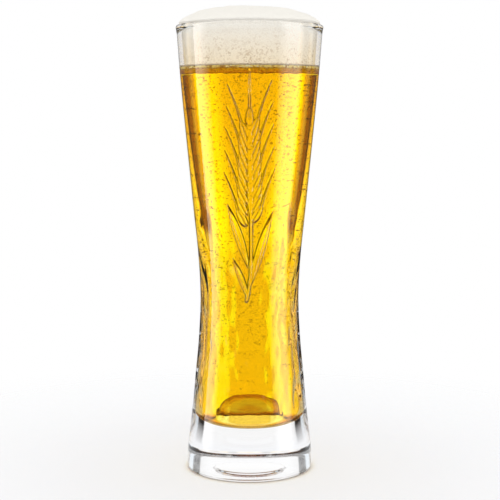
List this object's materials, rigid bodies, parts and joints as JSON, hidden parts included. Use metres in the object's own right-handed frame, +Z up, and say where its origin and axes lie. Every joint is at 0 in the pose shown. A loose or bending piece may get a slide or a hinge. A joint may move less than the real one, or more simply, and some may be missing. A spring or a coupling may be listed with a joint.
{
  "type": "beer glass",
  "caption": "Tall slim waisted beer glass with a thick clear foot and a raised barley stalk, filled with golden beer under a domed head of foam.",
  "frame": {"origin": "centre of the flat ring that the foot stands on, on the glass's axis", "axes": "+Z up along the glass's axis, -Y towards the side with the raised ornament"},
  "size_m": [0.0768, 0.0768, 0.2444],
  "materials": {
    "clear_glass": "clear, colourless, fire-polished",
    "golden_beer": "clear golden liquid with rising bubbles",
    "white_foam": "fine creamy foam, matt and slightly translucent"
  },
  "bodies": {
    "root": {"glass": "clear_glass", "beer": "golden_beer", "foam_head": "white_foam"}
  },
  "joints": []
}
